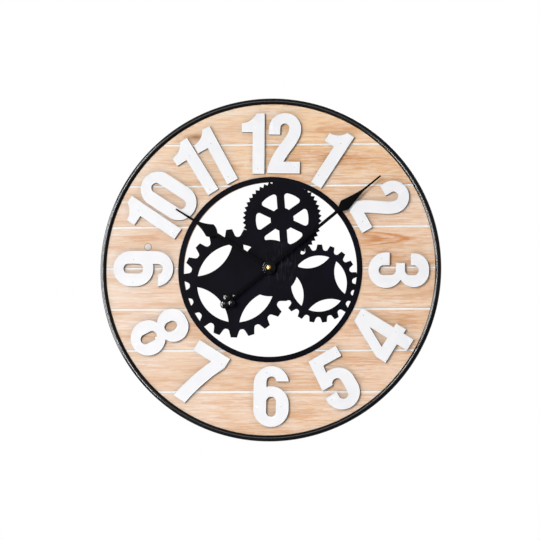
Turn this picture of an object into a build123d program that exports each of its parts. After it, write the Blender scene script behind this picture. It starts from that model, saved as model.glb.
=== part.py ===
from build123d import *
from math import cos, radians, sin, sqrt
import os

# A round wall clock: a plank dial in a steel hoop, a cut sheet of three gears in
# the middle, raised numerals, two hands and a battery quartz movement behind.
# Millimetres. X to the right, Z up, and the viewer looks along +Y at the dial.
# Heights h are measured from the wall towards the viewer.

# Overall
clock_diameter = 600.0
tube_diameter = 10.0
overrun = 2.0
running_gap = 0.05
fit_gap = 0.1
seat_gap = 0.3

# Layers from the wall towards the viewer
pad_thickness = 5.0
batten_thickness = 6.0
plank_thickness = 9.0
plate_thickness = 2.0
numeral_thickness = 8.0
batten_back = pad_thickness
plank_back = batten_back + batten_thickness
dial_face = plank_back + plank_thickness
plate_face = dial_face + plate_thickness

# Dial
tube_radius = tube_diameter / 2
tube_sides = 8
hoop_radius = clock_diameter / 2 - tube_radius
dial_radius = hoop_radius - tube_radius - fit_gap
ring_outer_share = 0.54
ring_outer_radius = ring_outer_share * clock_diameter / 2
ring_width = 9.5
ring_overhang = 0.5
ring_inner_radius = ring_outer_radius - ring_width
hole_radius = ring_inner_radius + ring_overhang
plank_pitch_share = 0.12
plank_pitch = plank_pitch_share * clock_diameter
middle_groove_rise = 2.6
groove_width = 2.6
groove_depth = 1.0
front_lap_thickness = 4.5
lap_engagement = 5.0
rows_above = 4
split_rows = 2

# Gear sheet
hub_rise = 2.6
lens_count = 4
spoke_count = 6
fine_gear_teeth = 48
fine_gear_turn = 2.6
fine_gear_base_share = 0.92
spoke_turn = -4.7

# Places and radii on the gear sheet, as shares of its ring's outer radius
left_gear_shares = dict(x=-0.3704, z=-0.1463, tip=0.5864, root=0.5025, base=0.5173, window=0.4228)
right_gear_shares = dict(x=0.5309, z=-0.1543, tip=0.4216, root=0.3605, base=0.3716, window=0.3025)
fine_gear_shares = dict(x=0.1278, z=0.5414, tip=0.4302, root=0.4012, window_outer=0.2858,
                        window_inner=0.1253, spoke=0.0833, corner=0.0309)
web_shares = dict(x=0.1685, z=-0.1728, radius=0.163, hub=0.3056)


def on_sheet(shares):
    return {name: share * ring_outer_radius for name, share in shares.items()}


# Angles of the teeth and windows in degrees
left_gear = dict(on_sheet(left_gear_shares), teeth=19, turn=11.3, tip_angle=6.5, base_angle=12.0,
                 root_angle=3.4, window_turn=47.5, window_half=37.0)
right_gear = dict(on_sheet(right_gear_shares), teeth=19, turn=0.9, tip_angle=6.8, base_angle=11.3,
                  root_angle=3.8, window_turn=74.8, window_half=36.8)
fine_gear = on_sheet(fine_gear_shares)
web = on_sheet(web_shares)

# Numerals fill the band between the gear sheet's ring and the hoop
numeral_inner_margin = 8.0
numeral_outer_margin = 14.0
numeral_width_share = 0.585
numeral_stroke_share = 0.212
numeral_bar_share = 0.17
numeral_height = hoop_radius - tube_radius - ring_outer_radius - numeral_inner_margin - numeral_outer_margin
numeral_width = numeral_width_share * numeral_height
numeral_stroke = numeral_stroke_share * numeral_height
numeral_bar = numeral_bar_share * numeral_height
numeral_radius = ring_outer_radius + numeral_inner_margin + numeral_height / 2
counter_width = numeral_width - 2 * numeral_stroke
counter_height = numeral_height - 2 * numeral_bar

# Hoop tabs
tab_count = 6
tab_start = 0.0
tab_thickness = 2.0
tab_width = 16.0
tab_reach = 30.0
tab_leg_radius = hoop_radius - tube_radius + tab_thickness
tab_inner_radius = tab_leg_radius - tab_reach

# Battens, wall pads and hanger
batten_width = 34.0
batten_hole_margin = 20.0
batten_rim_margin = 5.5
crossbar_rim_margin = 75.0
crossbar_length = 200.0
upright_x = hole_radius + batten_hole_margin + batten_width / 2
upright_length = 2 * sqrt((dial_radius - batten_rim_margin) ** 2 - (upright_x + batten_width / 2) ** 2)
crossbar_z = dial_radius - crossbar_rim_margin
pad_size = 16.0
hanger_width = 60.0
hanger_height = 24.0
hanger_thickness = 1.5
hanger_drop = 6.0
keyhole_radius = 5.0
keyhole_slot_width = 5.0
keyhole_slot_rise = 9.0
head_pocket_depth = 4.5
head_pocket_margin = 2.0

# Movement case, centred on the hub
case_size = 56.0
case_corner = 3.0
case_wall = 1.2
case_floor = 1.4
case_depth = 14.2
cover_thickness = 1.2
case_front = dial_face - fit_gap
case_back = case_front - case_depth
floor_back = case_front - case_floor
bay_height = 15.4
case_half = case_size / 2
bay_top = -case_half + case_wall + bay_height
train_floor = bay_top + case_wall

# Bushing, nut and the two coaxial arbors
bushing_radius = 4.0
nut_flats = 12.0
nut_sides = 6
nut_thickness = 2.4
hour_pipe_radius = 2.5
minute_pipe_radius = 1.6
minute_arbor_radius = 1.2
pipe_gap = 0.06

# Hands
hand_thickness = 1.6
hub_radius = 12.0
hand_clearance = 1.6
numeral_clearance = 1.2
hour_hand_back = dial_face + numeral_thickness + numeral_clearance
bushing_front = hour_hand_back - hand_clearance
minute_hand_back = hour_hand_back + hand_thickness + hand_clearance
minute_turn = 50.75
hour_turn = -58.0
cap_radius = 3.7
cap_skirt = 2.2
cap_crown = 1.8
cap_crown_radius = 1.8
cap_base = minute_hand_back + hand_thickness
clock_depth = cap_base + cap_skirt + cap_crown
half_depth = clock_depth / 2

# Battery: one AA cell
battery_radius = 7.25
battery_length = 49.5
battery_nub_radius = 2.75
battery_nub_length = 1.0
battery_height = floor_back - battery_radius - seat_gap
battery_drop = bay_top - battery_radius - seat_gap

# Motion work behind the dial: modules, teeth and levels
wheel_web = 0.8
wheel_gap = 0.4
motion_module = 0.525
minute_wheel_teeth = 24
hour_wheel_teeth = 32
leaf_count = 8
wheel_tooth_shares = (0.7, 0.9, 0.22, 0.55)
leaf_tooth_shares = (0.6, 1.0, 0.2, 0.4)
hour_wheel_level = floor_back - seat_gap - wheel_web
cannon_level = hour_wheel_level - wheel_gap - wheel_web
works_front = cannon_level - seat_gap
arbor_bearing_depth = 6.0

# Setting knob and battery contacts
knob_radius = 4.5
knob_thickness = 1.8
knob_shaft_radius = 1.2
stud_radius = 0.9
contact_thickness = 0.4
contact_width = 8.0
contact_height = 10.0


def facing(h, x=0.0, z=0.0, turn=0.0):
    """Plane at height h above the wall that faces the viewer, turned clockwise."""
    right = (cos(radians(turn)), 0, -sin(radians(turn)))
    return Plane(origin=(x, half_depth - h, z), x_dir=right, z_dir=(0, -1, 0))


def hub_facing(h, turn=0.0):
    return facing(h, 0.0, hub_rise, turn)


def clockwise(radius, angle):
    """Point at a radius, at an angle clockwise from straight up."""
    return (radius * sin(radians(angle)), radius * cos(radians(angle)))


def save(piece, name):
    piece.part.label = name
    export_step(piece.part, f"parts/{name}.step")


os.makedirs("parts", exist_ok=True)


# Hoop: a rolled round tube with six welded tabs that reach behind the planks
with BuildPart() as rim_hoop:
    with BuildSketch(Plane.XY):
        with Locations((hoop_radius, half_depth - dial_face)):
            RegularPolygon(tube_radius, tube_sides, major_radius=False, rotation=180 / tube_sides)
    revolve(axis=Axis.Y)
    tab_length = tab_leg_radius - tab_inner_radius
    with BuildSketch(facing(plank_back - tab_thickness)):
        with PolarLocations(tab_inner_radius + tab_length / 2, tab_count, start_angle=tab_start):
            Rectangle(tab_length, tab_width)
    extrude(amount=tab_thickness)
    leg_length = dial_face - plank_back - tube_radius + tab_thickness
    with BuildSketch(facing(plank_back - tab_thickness)):
        with PolarLocations(tab_leg_radius, tab_count, start_angle=tab_start):
            Rectangle(tab_thickness, tab_width)
    extrude(amount=leg_length + tab_thickness)
save(rim_hoop, "rim_hoop")


def plank_profile(bottom, top, covers_below, covered_above):
    """Section of a lapped board in Y and Z: front lap below, rear lap above a shallow groove."""
    front = half_depth - dial_face
    back = half_depth - plank_back
    step = front + front_lap_thickness
    floor = front + groove_depth
    shoulder = top + groove_width - fit_gap
    points = [(front, top), (front, bottom)]
    if covers_below:
        recess = bottom + lap_engagement + seat_gap
        points += [(step, bottom), (step, recess), (back, recess)]
    else:
        points += [(back, bottom)]
    if covered_above:
        lap = top + groove_width + lap_engagement
        points += [(back, lap), (step + fit_gap, lap), (step + fit_gap, shoulder)]
        points += [(floor, shoulder), (floor, top)]
    else:
        points += [(back, top)]
    return points


def make_plank(name, bottom, top, covers_below, covered_above, side=0):
    with BuildPart() as plank:
        with BuildSketch(Plane.YZ.offset(-dial_radius)):
            with BuildLine():
                Polyline(*plank_profile(bottom, top, covers_below, covered_above), close=True)
            make_face()
        extrude(amount=2 * dial_radius)
        with BuildSketch(facing(plank_back)):
            Circle(dial_radius)
            Circle(hole_radius, mode=Mode.SUBTRACT)
            if side:
                with Locations((side * dial_radius / 2, 0)):
                    Rectangle(dial_radius, 2 * dial_radius, mode=Mode.INTERSECT)
        extrude(amount=plank_thickness, mode=Mode.INTERSECT)
    save(plank, name)


# Planks: eight rows of lapped boards, cut round, the middle four split by the hole
grooves = [middle_groove_rise + plank_pitch * (rows_above - 1 - row) for row in range(2 * rows_above - 1)]
edges = [dial_radius + overrun] + grooves + [-dial_radius - overrun]
for row in range(2 * rows_above):
    upper = edges[row] - groove_width / 2
    lower = edges[row + 1] + groove_width / 2
    covers_below = row < 2 * rows_above - 1
    covered_above = row > 0
    if rows_above - split_rows <= row < rows_above + split_rows:
        make_plank(f"plank_{row + 1}_left", lower, upper, covers_below, covered_above, side=-1)
        make_plank(f"plank_{row + 1}_right", lower, upper, covers_below, covered_above, side=1)
    else:
        make_plank(f"plank_{row + 1}", lower, upper, covers_below, covered_above)

# Battens behind the boards: two uprights beside the hole, two crossbars
for name, side in (("batten_left", -1), ("batten_right", 1)):
    with BuildPart() as upright:
        with BuildSketch(facing(batten_back, side * upright_x)):
            Rectangle(batten_width, upright_length)
        extrude(amount=batten_thickness)
    save(upright, name)

with BuildPart() as batten_bottom:
    with BuildSketch(facing(batten_back, 0, -crossbar_z)):
        Rectangle(crossbar_length, batten_width)
    extrude(amount=batten_thickness)
save(batten_bottom, "batten_bottom")

# The top crossbar has a pocket for the head of the wall screw
hanger_z = crossbar_z - hanger_drop
hanger_back = batten_back - hanger_thickness
with BuildPart() as batten_top:
    with BuildSketch(facing(batten_back, 0, crossbar_z)):
        Rectangle(crossbar_length, batten_width)
    extrude(amount=batten_thickness)
    pocket_width = 2 * (keyhole_radius + head_pocket_margin)
    with BuildSketch(facing(hanger_back, 0, hanger_z + keyhole_slot_rise / 2)):
        Rectangle(pocket_width, pocket_width + keyhole_slot_rise)
    extrude(amount=head_pocket_depth + hanger_thickness, mode=Mode.SUBTRACT)
save(batten_top, "batten_top")

with BuildPart() as wall_pads:
    with BuildSketch(facing(0)):
        with GridLocations(2 * upright_x, upright_length - pad_size, 2, 2):
            Rectangle(pad_size, pad_size)
    extrude(amount=pad_thickness)
save(wall_pads, "wall_pads")

# Hanger: a flat plate with a keyhole, its round mouth below and the slot above
with BuildPart() as hanger_plate:
    with BuildSketch(facing(hanger_back, 0, hanger_z)):
        with Locations((0, keyhole_slot_rise / 2)):
            Rectangle(hanger_width, hanger_height)
            SlotCenterToCenter(keyhole_slot_rise, keyhole_slot_width, rotation=90, mode=Mode.SUBTRACT)
        Circle(keyhole_radius, mode=Mode.SUBTRACT)
    extrude(amount=hanger_thickness)
save(hanger_plate, "hanger_plate")


def gear_point(gear, radius, angle):
    across, up = clockwise(radius, angle)
    return (gear["x"] + across, gear["z"] + up)


def coarse_gear(gear):
    """Flat-topped teeth on straight flanks, with the corners of the roots cut off."""
    pitch = 360 / gear["teeth"]
    with BuildLine() as outline:
        for tooth in range(gear["teeth"]):
            middle = gear["turn"] + tooth * pitch
            start = gear_point(gear, gear["base"], middle - gear["base_angle"] / 2)
            tip_start = gear_point(gear, gear["tip"], middle - gear["tip_angle"] / 2)
            tip_end = gear_point(gear, gear["tip"], middle + gear["tip_angle"] / 2)
            end = gear_point(gear, gear["base"], middle + gear["base_angle"] / 2)
            root_start = gear_point(gear, gear["root"], middle + pitch / 2 - gear["root_angle"] / 2)
            root_end = gear_point(gear, gear["root"], middle + pitch / 2 + gear["root_angle"] / 2)
            following = gear_point(gear, gear["base"], middle + pitch - gear["base_angle"] / 2)
            Polyline(start, tip_start, tip_end, end, root_start, root_end, following)
    make_face(outline.edges())


def lens_window(gear, turn):
    """Pointed window between two equal arcs, cut across one direction of the gear."""
    first = gear_point(gear, gear["window"], turn - gear["window_half"])
    last = gear_point(gear, gear["window"], turn + gear["window_half"])
    chord = gear["window"] * cos(radians(gear["window_half"]))
    outer = gear_point(gear, gear["window"], turn)
    inner = gear_point(gear, 2 * chord - gear["window"], turn)
    with BuildLine() as outline:
        ThreePointArc(first, outer, last)
        ThreePointArc(last, inner, first)
    make_face(outline.edges(), mode=Mode.SUBTRACT)


# Gear sheet: ring, two coarse gears, one fine gear, web and hub disc cut from one sheet
with BuildPart() as gear_plate:
    with BuildSketch(facing(dial_face)) as sheet:
        Circle(ring_outer_radius)
        Circle(ring_inner_radius, mode=Mode.SUBTRACT)
        for gear in (left_gear, right_gear):
            coarse_gear(gear)
        with Locations((web["x"], web["z"])):
            Circle(web["radius"])
        for gear in (left_gear, right_gear):
            for window in range(lens_count):
                lens_window(gear, gear["window_turn"] + window * 360 / lens_count)
        with Locations((fine_gear["x"], fine_gear["z"])):
            fine_points = []
            fine_pitch = 360 / fine_gear_teeth
            base_half = fine_pitch * fine_gear_base_share / 2
            for tooth in range(fine_gear_teeth):
                middle = fine_gear_turn + tooth * fine_pitch
                fine_points.append(clockwise(fine_gear["root"], middle - base_half))
                fine_points.append(clockwise(fine_gear["tip"], middle))
                fine_points.append(clockwise(fine_gear["root"], middle + base_half))
            Polygon(*fine_points, align=None)
    extrude(amount=plate_thickness)
    with BuildSketch(facing(dial_face, fine_gear["x"], fine_gear["z"], spoke_turn)) as windows:
        Circle(fine_gear["window_outer"])
        Circle(fine_gear["window_inner"], mode=Mode.SUBTRACT)
        with PolarLocations(fine_gear["window_outer"] / 2, spoke_count, start_angle=90):
            Rectangle(fine_gear["window_outer"] + overrun, fine_gear["spoke"], mode=Mode.SUBTRACT)
        middle_radius = (fine_gear["window_outer"] + fine_gear["window_inner"]) / 2
        corners = windows.vertices().filter_by(
            lambda v: (windows.sketch.center() - v.center()).length > middle_radius)
        fillet(corners, fine_gear["corner"])
    extrude(amount=plate_thickness, mode=Mode.SUBTRACT)
    with BuildSketch(hub_facing(dial_face)):
        Circle(web["hub"])
    extrude(amount=plate_thickness)
    with BuildSketch(hub_facing(dial_face)):
        Circle(bushing_radius + fit_gap)
    extrude(amount=plate_thickness, mode=Mode.SUBTRACT)
save(gear_plate, "gear_plate")


# Digits. Points are shares of half the numeral's width and half its height.
half_wide = numeral_width / 2
half_high = numeral_height / 2
one_shares = [(-0.65, 0.68), (-0.65, 0.38), (-0.03, 0.38), (-0.03, -1.0),
              (0.65, -1.0), (0.65, 1.0), (0.19, 1.0)]
one_flag_share = (-0.13, 0.78)
four_shares = [(0.0, 1.0), (0.84, 1.0), (0.84, -0.23), (1.1, -0.23), (1.1, -0.61), (0.84, -0.61),
               (0.84, -1.0), (0.13, -1.0), (0.13, -0.61), (-1.08, -0.61), (-1.08, -0.25)]
four_counter_shares = [(0.15, 0.45), (-0.44, -0.23), (0.15, -0.23)]
five_flag_shares = [(-0.81, 1.0), (0.97, 1.0), (0.97, 0.62), (-0.19, 0.64), (-0.27, 0.32),
                    (-0.27, -0.07), (-0.94, -0.07)]
seven_shares = [(0.1, -1.0), (-0.68, -1.0), (0.13, 0.6), (-1.08, 0.6),
                (-1.08, 1.0), (0.97, 1.0), (0.97, 0.66)]
seven_inner_share = (-0.34, -0.15)
seven_outer_share = (0.47, -0.075)
two_base_shares = [(-0.98, -1.0), (0.89, -1.0), (0.89, -0.61), (-0.05, -0.61)]
two_outer_shares = [(-0.05, -0.61), (0.26, -0.26), (0.92, 0.08), (0.92, 0.46)]
two_hook_shares = [(-0.92, 0.46), (-0.92, 0.28), (-0.27, 0.28), (-0.27, 0.5)]
two_inner_shares = [(0.24, 0.5), (0.24, 0.15), (-0.84, -0.23), (-0.98, -1.0)]
two_crown_share = (0.0, 1.0)
two_counter_share = (-0.015, 0.65)
six_terminal_share = 0.5
six_bowl_share = 0.34
six_counter_share = 0.0
five_terminal_share = -0.33
five_bowl_share = 0.41
five_counter_share = 0.07
three_middle_share = -0.4
three_open_high_share = 0.4
three_open_low_share = -0.3
three_bar_high_share = 0.21
three_bar_low_share = -0.09
lobe_width_share = 0.95
upper_lobe_share = 0.0
lower_lobe_share = 0.16
eight_upper_shares = (0.64, 0.21)
eight_lower_shares = (-0.11, -0.68)


def at(share):
    return (share[0] * half_wide, share[1] * half_high)


def block(left, right, bottom, top, mode=Mode.ADD):
    with Locations(((left + right) / 2, (bottom + top) / 2)):
        Rectangle(right - left, top - bottom, mode=mode)


def upright_slot(width, bottom, top, mode=Mode.ADD):
    with Locations((0, (bottom + top) / 2)):
        SlotOverall(top - bottom, width, rotation=90, mode=mode)


def lobe(width, bottom, top):
    corner = min(width, top - bottom) / 2 - fit_gap
    with Locations((0, (bottom + top) / 2)):
        RectangleRounded(width, top - bottom, corner)


def draw_zero():
    upright_slot(numeral_width, -half_high, half_high)
    upright_slot(counter_width, -counter_height / 2, counter_height / 2, Mode.SUBTRACT)


def draw_one():
    points = [at(share) for share in one_shares]
    with BuildLine() as outline:
        Polyline(*points)
        ThreePointArc(points[-1], at(one_flag_share), points[0])
    make_face(outline.edges())


def draw_two():
    with BuildLine() as outline:
        Polyline(*[at(share) for share in two_base_shares])
        Bezier(*[at(share) for share in two_outer_shares])
        ThreePointArc(at(two_outer_shares[-1]), at(two_crown_share), at(two_hook_shares[0]))
        Polyline(*[at(share) for share in two_hook_shares])
        ThreePointArc(at(two_hook_shares[-1]), at(two_counter_share), at(two_inner_shares[0]))
        Bezier(*[at(share) for share in two_inner_shares])
    make_face(outline.edges())


def draw_three():
    lobe(lobe_width_share * numeral_width, upper_lobe_share * half_high, half_high)
    lobe(numeral_width, -half_high, lower_lobe_share * half_high)
    opening = (half_high * three_open_low_share, half_high * three_open_high_share)
    block(-half_wide, three_middle_share * half_wide, *opening, mode=Mode.SUBTRACT)
    upper = half_high * three_bar_high_share
    lower = half_high * three_bar_low_share
    upright_slot(counter_width, upper, counter_height / 2, Mode.SUBTRACT)
    upright_slot(counter_width, -counter_height / 2, lower, Mode.SUBTRACT)
    block(three_middle_share * half_wide, 0, upper, opening[1], Mode.SUBTRACT)
    block(three_middle_share * half_wide, 0, opening[0], lower, Mode.SUBTRACT)


def draw_four():
    Polygon(*[at(share) for share in four_shares], align=None)
    Polygon(*[at(share) for share in four_counter_shares], align=None, mode=Mode.SUBTRACT)


def draw_five():
    bowl = five_bowl_share * half_high
    terminal = five_terminal_share * half_high
    upright_slot(numeral_width, -half_high, bowl)
    block(-half_wide, -counter_width / 2, terminal, bowl, Mode.SUBTRACT)
    Polygon(*[at(share) for share in five_flag_shares], align=None)
    upright_slot(counter_width, -counter_height / 2, five_counter_share * half_high, Mode.SUBTRACT)


def draw_six():
    bowl = six_bowl_share * half_high
    shoulder = bowl - half_wide
    upright_slot(numeral_width, -half_high, half_high)
    block(-counter_width / 2, half_wide, shoulder, six_terminal_share * half_high, Mode.SUBTRACT)
    upright_slot(counter_width, shoulder, counter_height / 2, Mode.SUBTRACT)
    upright_slot(numeral_width, -half_high, bowl)
    upright_slot(counter_width, -counter_height / 2, six_counter_share * half_high, Mode.SUBTRACT)


def draw_seven():
    points = [at(share) for share in seven_shares]
    with BuildLine() as outline:
        Polyline(points[0], points[1])
        ThreePointArc(points[1], at(seven_inner_share), points[2])
        Polyline(*points[2:])
        ThreePointArc(points[-1], at(seven_outer_share), points[0])
    make_face(outline.edges())


def draw_eight():
    lobe(lobe_width_share * numeral_width, upper_lobe_share * half_high, half_high)
    lobe(numeral_width, -half_high, lower_lobe_share * half_high)
    for high_share, low_share in (eight_upper_shares, eight_lower_shares):
        upright_slot(counter_width, low_share * half_high, high_share * half_high, Mode.SUBTRACT)


digit_drawings = {
    "0": draw_zero, "1": draw_one, "2": draw_two, "3": draw_three, "4": draw_four,
    "5": draw_five, "6": draw_six, "7": draw_seven, "8": draw_eight, "9": draw_six,
}

# Digits of each hour, each with its sideways and outward shares of the height and its lean in degrees
digit_place_shares = {
    1: [("1", -0.095, -0.022, 3.0)],
    2: [("2", -0.003, 0.015, 0.0)],
    3: [("3", 0.027, 0.031, 0.5)],
    4: [("4", -0.05, 0.04, 1.5)],
    5: [("5", 0.041, 0.042, 0.0)],
    6: [("6", 0.04, -0.008, 0.5)],
    7: [("7", -0.12, -0.011, 2.0)],
    8: [("8", -0.02, -0.008, 3.0)],
    9: [("9", 0.018, -0.002, 1.0)],
    10: [("1", -0.312, 0.019, 4.0), ("0", 0.213, -0.031, 3.0)],
    11: [("1", -0.285, -0.028, -2.0), ("1", 0.107, -0.034, 1.2)],
    12: [("1", -0.285, -0.029, 0.0), ("2", 0.24, -0.025, 1.0)],
}
inward_hours = (4, 5, 6, 7, 8)
hour_step = 30
half_turn = 180


def digit_plane(hour, digit, sideways_share, outward_share, lean):
    """Plane of one digit on the dial: upright at the top, turned with its hour."""
    inward = hour in inward_hours
    turn = hour_step * hour - (half_turn if inward else 0)
    reach = numeral_radius + outward_share * numeral_height
    outward = clockwise(-reach if inward else reach, turn)
    along = clockwise(sideways_share * numeral_height, turn + half_turn / 2)
    flip = half_turn if digit == "9" else 0
    return facing(dial_face, outward[0] + along[0], outward[1] + along[1], turn + lean + flip)


# Numerals: flat digits of one thickness, set on the boards around the gear sheet
with BuildPart() as numerals:
    for hour, digits in digit_place_shares.items():
        for digit, sideways_share, outward_share, lean in digits:
            with BuildSketch(digit_plane(hour, digit, sideways_share, outward_share, lean)):
                digit_drawings[digit]()
            extrude(amount=numeral_thickness)
save(numerals, "numerals")


# Hands: an arm, a leaf-shaped blade and a drawn-out point
minute_blade = dict(arm=5.5, neck=158.0, width=21.0, widest=171.0, shoulder=212.0, shoulder_width=3.8,
                    tip=251.5, tip_width=2.6, flare_share=0.72, hollow_share=0.57)
hour_blade = dict(arm=7.0, neck=110.5, width=24.6, widest=124.5, shoulder=158.0, shoulder_width=4.4,
                  tip=195.0, tip_width=2.6, flare_share=0.8, hollow_share=0.47)
bead_reach = 77.5
bead_radius = 4.0
club_side_radius = 6.6
club_side_spread = 6.6
club_side_reach = 90.0
club_end_radius = 7.6
club_end_reach = 101.0


def hand_outline(blade):
    """Arm, round-shouldered leaf and drawn-out point, the same on both sides."""
    arm = blade["arm"] / 2
    widest = blade["width"] / 2
    taper = blade["shoulder_width"] / 2
    tip = blade["tip_width"] / 2
    middle_height = (2 * blade["widest"] + blade["shoulder"]) / 3
    with BuildLine() as outline:
        for side in (1, -1):
            neck_point = (side * arm, blade["neck"])
            flare_point = (side * widest * blade["flare_share"], (blade["neck"] + blade["widest"]) / 2)
            widest_point = (side * widest, blade["widest"])
            middle_point = (side * (widest + taper) * blade["hollow_share"], middle_height)
            taper_point = (side * taper, blade["shoulder"])
            Line((side * arm, 0), neck_point)
            ThreePointArc(neck_point, flare_point, widest_point)
            Spline(widest_point, middle_point, taper_point)
            Line(taper_point, (side * tip, blade["tip"]))
        Line((tip, blade["tip"]), (-tip, blade["tip"]))
        Line((arm, 0), (-arm, 0))
    make_face(outline.edges())


with BuildPart() as hour_hand:
    with BuildSketch(hub_facing(hour_hand_back, hour_turn)):
        hand_outline(hour_blade)
        Circle(hub_radius)
        Circle(hour_pipe_radius, mode=Mode.SUBTRACT)
    extrude(amount=hand_thickness)
save(hour_hand, "hour_hand")

with BuildPart() as minute_hand:
    with BuildSketch(hub_facing(minute_hand_back, minute_turn)):
        hand_outline(minute_blade)
        with Locations((0, -club_side_reach / 2)):
            Rectangle(minute_blade["arm"], club_side_reach)
        with Locations((0, -bead_reach)):
            Circle(bead_radius)
        with Locations((-club_side_spread, -club_side_reach), (club_side_spread, -club_side_reach)):
            Circle(club_side_radius)
        with Locations((0, -club_end_reach)):
            Circle(club_end_radius)
        Circle(hub_radius)
        Circle(minute_pipe_radius, mode=Mode.SUBTRACT)
    extrude(amount=hand_thickness)
save(minute_hand, "minute_hand")

# Cap nut: turned skirt and tapered crown over the end of the minute arbor
with BuildPart() as cap_nut:
    with BuildSketch(Plane.XY.offset(hub_rise)):
        with BuildLine():
            skirt_y = half_depth - cap_base
            crown_y = skirt_y - cap_skirt
            top_y = crown_y - cap_crown
            Polyline((0, crown_y), (minute_pipe_radius, crown_y), (minute_pipe_radius, skirt_y),
                     (cap_radius, skirt_y), (cap_radius, crown_y), (cap_crown_radius, top_y),
                     (0, top_y), close=True)
        make_face()
    revolve(axis=Axis((0, 0, hub_rise), (0, 1, 0)))
save(cap_nut, "cap_nut")

# Places of the arbors around the hub, as seen by the viewer
motion_distance = motion_module * (minute_wheel_teeth + leaf_count) / 2
hour_module = 2 * motion_distance / (hour_wheel_teeth + leaf_count)
minute_wheel_bearing = 0.0
knob_bearing = 35.0


def polar(start, distance, bearing):
    return (start[0] + distance * cos(radians(bearing)), start[1] + distance * sin(radians(bearing)))


hub = (0.0, 0.0)
minute_wheel_spot = polar(hub, motion_distance, minute_wheel_bearing)
knob_spot = polar(minute_wheel_spot, motion_distance, knob_bearing)


def mating_phase(phase, teeth, mate_teeth, bearing):
    """Angle of a tooth on the mate that leaves a gap where this wheel's tooth points."""
    offset = (phase - bearing) * teeth / 360
    return bearing + 180 - (offset + 0.5) * 360 / mate_teeth


def toothed(teeth, module, phase, shares):
    """Straight-flanked clock teeth: addendum, dedendum, tip and root shares."""
    addendum_share, dedendum_share, tip_share, root_share = shares
    tip_radius = module * (teeth / 2 + addendum_share)
    root_radius = module * (teeth / 2 - dedendum_share)
    pitch = 360 / teeth
    points = []
    for tooth in range(teeth):
        middle = phase + tooth * pitch
        points.append(polar(hub, root_radius, middle - pitch * root_share / 2))
        points.append(polar(hub, tip_radius, middle - pitch * tip_share / 2))
        points.append(polar(hub, tip_radius, middle + pitch * tip_share / 2))
        points.append(polar(hub, root_radius, middle + pitch * root_share / 2))
    Polygon(*points, align=None)


def spot_facing(spot, h):
    return facing(h, spot[0], hub_rise + spot[1])


def disc(spot, radius, low, high, mode=Mode.ADD):
    with BuildSketch(spot_facing(spot, low)) as profile:
        Circle(radius)
    extrude(profile.sketch, amount=high - low, mode=mode)


# Movement case: a square shell open to the back, its battery bay walled off
bay_middle = (bay_top - case_half + case_wall) / 2
works_height = case_half - case_wall - train_floor
works_middle = train_floor + works_height / 2
inner_width = case_size - 2 * case_wall
with BuildPart() as movement_case:
    with BuildSketch(hub_facing(case_back)) as outline:
        Rectangle(case_size, case_size)
        chamfer(outline.vertices(), case_corner)
    extrude(amount=case_depth)
    with BuildSketch(hub_facing(case_back)):
        with Locations((0, bay_middle)):
            Rectangle(inner_width, bay_height)
        with Locations((0, works_middle)):
            Rectangle(inner_width, works_height)
    extrude(amount=case_depth - case_floor, mode=Mode.SUBTRACT)
    disc(hub, bushing_radius, case_front, bushing_front)
    disc(hub, hour_pipe_radius + pipe_gap, floor_back, bushing_front, Mode.SUBTRACT)
    disc(minute_wheel_spot, stud_radius, cannon_level, floor_back)
save(movement_case, "movement_case")

# Rear half over the works, solid where the sealed motor and its train run
with BuildPart() as movement_cover:
    with BuildSketch(hub_facing(case_back - cover_thickness)) as outline:
        Rectangle(case_size, case_size)
        chamfer(outline.vertices(), case_corner)
        block(-case_half, case_half, -case_half, train_floor - case_wall, Mode.SUBTRACT)
    extrude(amount=cover_thickness)
    with BuildSketch(hub_facing(case_back)):
        with Locations((0, works_middle)):
            Rectangle(inner_width - 2 * fit_gap, works_height - 2 * fit_gap)
    extrude(amount=works_front - case_back)
    disc(hub, minute_arbor_radius + running_gap, works_front - arbor_bearing_depth, works_front,
         Mode.SUBTRACT)
    disc(knob_spot, knob_shaft_radius + running_gap, case_back - cover_thickness, works_front,
         Mode.SUBTRACT)
save(movement_cover, "movement_cover")

# Brass nut of the bushing, on the front of the gear sheet
with BuildPart() as hex_nut:
    with BuildSketch(hub_facing(plate_face)):
        RegularPolygon(nut_flats / 2, nut_sides, major_radius=False)
        Circle(bushing_radius + running_gap, mode=Mode.SUBTRACT)
    extrude(amount=nut_thickness)
save(hex_nut, "hex_nut")

# Motion work: cannon pinion to minute wheel, its pinion to hour wheel
cannon_phase = 0.0
minute_wheel_phase = mating_phase(cannon_phase, leaf_count, minute_wheel_teeth, minute_wheel_bearing)
minute_leaf_phase = 0.0
hour_wheel_phase = mating_phase(minute_leaf_phase, leaf_count, hour_wheel_teeth, minute_wheel_bearing + 180)
knob_leaf_phase = mating_phase(minute_wheel_phase, minute_wheel_teeth, leaf_count, knob_bearing)


def toothed_disc(spot, teeth, module, phase, shares, low, high):
    with BuildSketch(spot_facing(spot, low)) as profile:
        toothed(teeth, module, phase, shares)
    extrude(profile.sketch, amount=high - low)


# Minute arbor: journal, cannon pinion and the pipe that carries the minute hand
with BuildPart() as minute_arbor:
    disc(hub, minute_arbor_radius, works_front - arbor_bearing_depth + fit_gap, cannon_level)
    toothed_disc(hub, leaf_count, motion_module, cannon_phase, leaf_tooth_shares,
                 cannon_level, hour_wheel_level - seat_gap)
    disc(hub, minute_pipe_radius, hour_wheel_level - seat_gap, cap_base + cap_skirt)
save(minute_arbor, "minute_arbor")

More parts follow.
